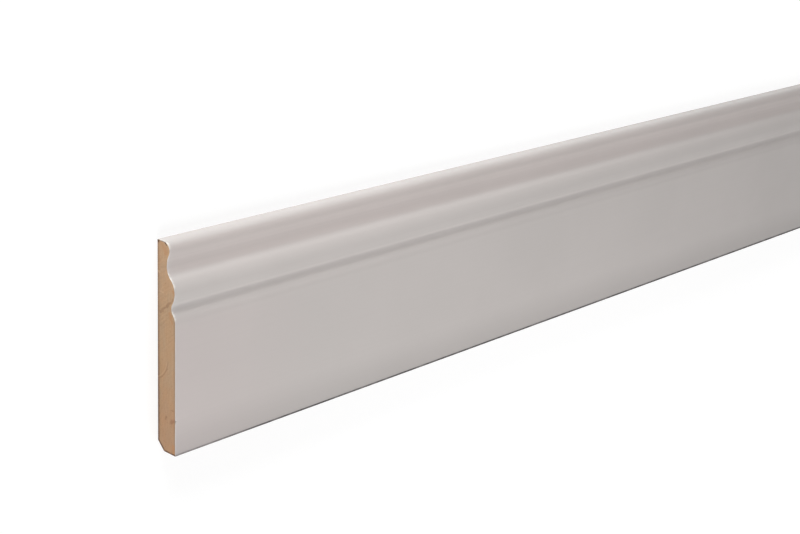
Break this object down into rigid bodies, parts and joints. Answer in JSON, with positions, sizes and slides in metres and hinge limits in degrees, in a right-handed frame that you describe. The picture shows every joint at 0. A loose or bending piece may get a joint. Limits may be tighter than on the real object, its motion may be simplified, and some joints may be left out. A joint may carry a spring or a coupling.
{
  "type": "skirting board length",
  "caption": "Length of white-primed fibreboard skirting with an ogee moulding along its top edge, a flat face, square-sawn ends and a splayed back foot.",
  "frame": {"origin": "middle of the flat back, which the length lies on", "axes": "+X along the length, away from the sawn end that the picture shows; +Y across the width, towards the moulded edge; +Z out of the moulded face"},
  "size_m": [2.4, 0.119, 0.0145],
  "materials": {
    "white_primer": "satin",
    "bare_fibreboard": "matte"
  },
  "bodies": {
    "root": {"skirting_board": "white_primer"}
  },
  "joints": []
}
